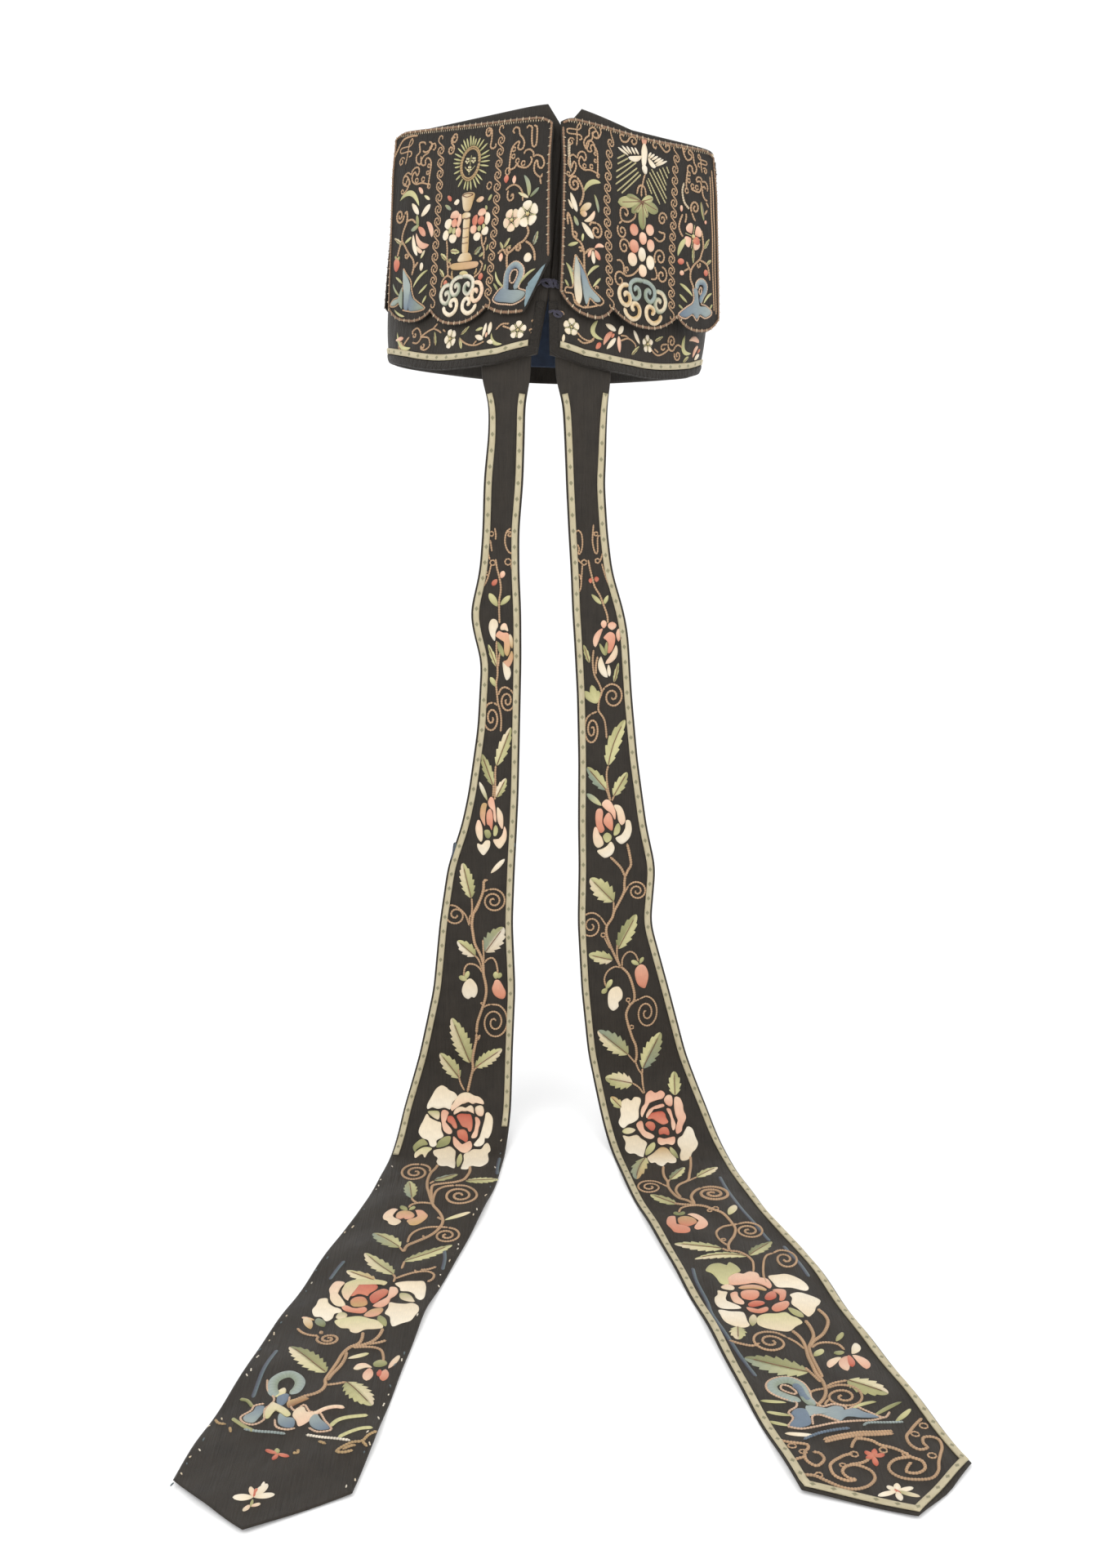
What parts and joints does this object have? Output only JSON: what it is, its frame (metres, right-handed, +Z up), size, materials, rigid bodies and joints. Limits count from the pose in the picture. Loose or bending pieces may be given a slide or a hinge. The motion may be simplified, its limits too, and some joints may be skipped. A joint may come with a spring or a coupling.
{
  "type": "liturgical headdress",
  "caption": "Black silk liturgical cap with embroidered hanging panels, a slit round hem and long lappets that widen to pointed ends.",
  "frame": {"origin": "centre of the head opening, level with the hem", "axes": "+Z up, as worn; -Y towards the side with the slit and the lappets; +X to the right as seen from that side"},
  "size_m": [0.3593, 0.6137, 0.625],
  "materials": {
    "black_satin": "worn black silk satin with polychrome silk and couched gold embroidery",
    "lappet_satin": "worn black silk satin with polychrome silk embroidery",
    "black_binding": "plain black cloth binding",
    "dark_blue_lining": "plain dark blue cloth",
    "light_blue_lining": "plain light blue cloth",
    "cream_galloon": "woven cream and gold braid with small green and brown lozenges",
    "gold_cord": "couched gold thread cord, rubbed",
    "navy_cord": "knotted dark navy cord"
  },
  "bodies": {
    "root": {"cap_wall": "black_satin", "cap_lining": "dark_blue_lining", "crown_top": "black_satin", "hem_binding": "black_binding", "band_galloon": "cream_galloon", "turned_corner_near_left": "light_blue_lining", "lappet_right": "lappet_satin", "lappet_left": "lappet_satin", "lappet_galloon_right": "cream_galloon", "lappet_galloon_left_inner": "cream_galloon", "lappet_galloon_left_outer": "cream_galloon", "slit_knot_upper": "navy_cord", "slit_knot_lower": "navy_cord", "panel_near_left": "black_satin", "edge_cord_near_left": "gold_cord", "panel_near_right": "black_satin", "edge_cord_near_right": "gold_cord", "panel_far_right": "black_satin", "edge_cord_far_right": "gold_cord", "panel_far_left": "black_satin", "edge_cord_far_left": "gold_cord"}
  },
  "joints": []
}
